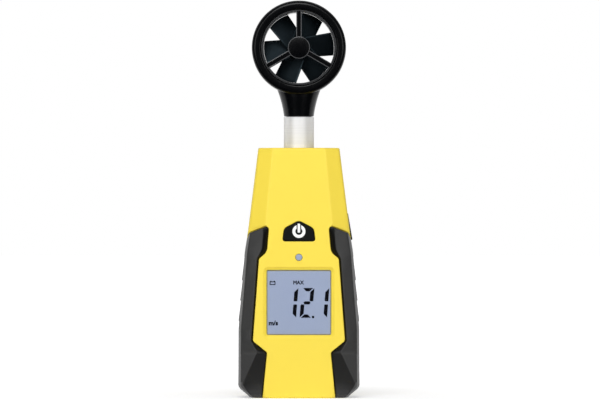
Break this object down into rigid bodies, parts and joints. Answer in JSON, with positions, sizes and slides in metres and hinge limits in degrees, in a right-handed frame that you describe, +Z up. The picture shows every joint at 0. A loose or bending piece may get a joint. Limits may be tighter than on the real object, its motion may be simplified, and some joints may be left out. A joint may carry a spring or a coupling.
{
  "type": "handheld vane anemometer",
  "caption": "Handheld wind speed meter with a faceted yellow case, black side grips, a square display, a pentagon key and a fan in a ring on a turning metal stem.",
  "frame": {"origin": "centre of the footprint on the flat bottom face, the meter standing upright", "axes": "+Z up from the bottom face to the ring, -Y out of the front panel, +X to the right seen from the front"},
  "size_m": [0.0522, 0.0318, 0.1702],
  "materials": {
    "case_yellow": "satin moulded plastic",
    "grip_black": "soft satin rubber",
    "head_black": "smooth moulded plastic",
    "fan_black": "smooth moulded plastic",
    "key_black": "satin",
    "stem_steel": "polished",
    "screw_steel": "plain",
    "pane_clear": "clear",
    "display_grey": "grey-blue display",
    "carrier_white": "moulded",
    "contact_rubber": "conductive strip",
    "board_green": "circuit board",
    "chip_black": "moulded",
    "switch_grey": "moulded",
    "plug_white": "moulded",
    "cable_grey": "sheathed",
    "lead_red": "sheathed",
    "lead_black": "sheathed",
    "cell_case": "plain printed case",
    "bush_white": "low-friction plastic",
    "jewel_red": "polished"
  },
  "bodies": {
    "housing": {"front_shell": "case_yellow", "rear_shell": "case_yellow", "left_grip": "grip_black", "right_grip": "grip_black", "case_screw_1": "screw_steel", "case_screw_2": "screw_steel", "case_screw_3": "screw_steel", "case_screw_4": "screw_steel", "display_window": "pane_clear", "lcd_glass": "display_grey", "lcd_carrier": "carrier_white", "zebra_strip_lower": "contact_rubber", "zebra_strip_upper": "contact_rubber", "main_board": "board_green", "board_screw_1": "screw_steel", "board_screw_2": "screw_steel", "board_screw_3": "screw_steel", "board_screw_4": "screw_steel", "controller_chip": "chip_black", "sensor_plug": "plug_white", "sensor_cable": "cable_grey", "status_lens": "display_grey", "status_led": "pane_clear", "power_switch": "switch_grey", "side_switch": "switch_grey", "battery": "cell_case", "battery_snap": "chip_black", "battery_lead_plus": "lead_red", "battery_lead_minus": "lead_black", "upper_bush": "bush_white", "lower_bush": "bush_white"},
    "battery_door": {"battery_door": "case_yellow"},
    "power_key": {"power_button": "key_black", "power_plunger": "chip_black"},
    "side_key": {"side_button": "key_black", "side_plunger": "chip_black"},
    "vane_head": {"stem_tube": "stem_steel", "head_front_shell": "head_black", "head_rear_shell": "head_black", "front_spider": "head_black", "rear_spider": "head_black", "front_jewel": "jewel_red", "rear_jewel": "jewel_red", "pickup_board": "board_green", "pickup_sensor": "chip_black", "head_screw_1": "screw_steel", "head_screw_2": "screw_steel"},
    "fan": {"impeller": "fan_black", "impeller_axle": "stem_steel"}
  },
  "joints": [
    {"name": "head_swivel", "type": "hinge", "parent": "housing", "child": "vane_head", "pos_m": [0, 0, 0.107], "axis": [0, 0, 1], "range_deg": [-90, 90]},
    {"name": "fan_spin", "type": "hinge", "parent": "vane_head", "child": "fan", "pos_m": [0, 0, 0.15], "axis": [0, 1, 0], "continuous": true},
    {"name": "power_press", "type": "slide", "parent": "housing", "child": "power_key", "axis": [0, 1, 0], "range_m": [0, 0.0007], "stiffness_N_per_m": 800, "springref_m": -0.0006},
    {"name": "side_press", "type": "slide", "parent": "housing", "child": "side_key", "axis": [-1, 0, 0], "range_m": [0, 0.0005], "stiffness_N_per_m": 800, "springref_m": -0.0006},
    {"name": "door_hinge", "type": "hinge", "parent": "housing", "child": "battery_door", "pos_m": [0, 0.0159, 0.0598], "axis": [1, 0, 0], "range_deg": [0, 70]}
  ]
}
